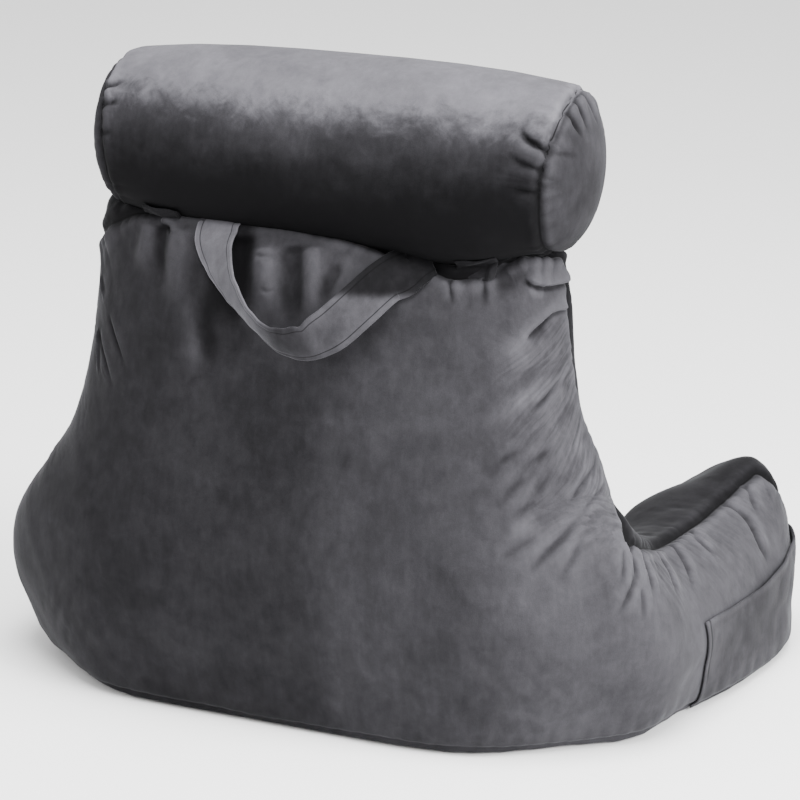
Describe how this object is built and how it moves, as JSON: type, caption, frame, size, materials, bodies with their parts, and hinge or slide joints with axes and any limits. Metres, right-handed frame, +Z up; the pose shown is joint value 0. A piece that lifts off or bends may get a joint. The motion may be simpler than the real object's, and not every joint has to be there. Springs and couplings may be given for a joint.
{
  "type": "reading pillow with arms",
  "caption": "Velvet backrest pillow for reading, with two arms, a neck roll, a carry strap at the back and a pocket on one arm.",
  "frame": {"origin": "middle of the bounding box's footprint, on the floor", "axes": "+Z is up; the sitter leans back towards +Y and looks along -Y, so the arms run towards -Y; the pocket is on the -X arm"},
  "size_m": [0.7389, 0.5228, 0.641],
  "materials": {
    "velvet": "short dark grey velvet with a mottled nap",
    "roll_velvet": "the same velvet, its nap brushed paler on top",
    "strap_velvet": "the same velvet sewn flat, with two rows of topstitching"
  },
  "bodies": {
    "root": {"body": "velvet", "neck_roll": "roll_velvet", "carry_handle": "strap_velvet", "roll_tab_right": "strap_velvet", "roll_tab_left": "strap_velvet", "arm_pocket": "velvet"}
  },
  "joints": []
}
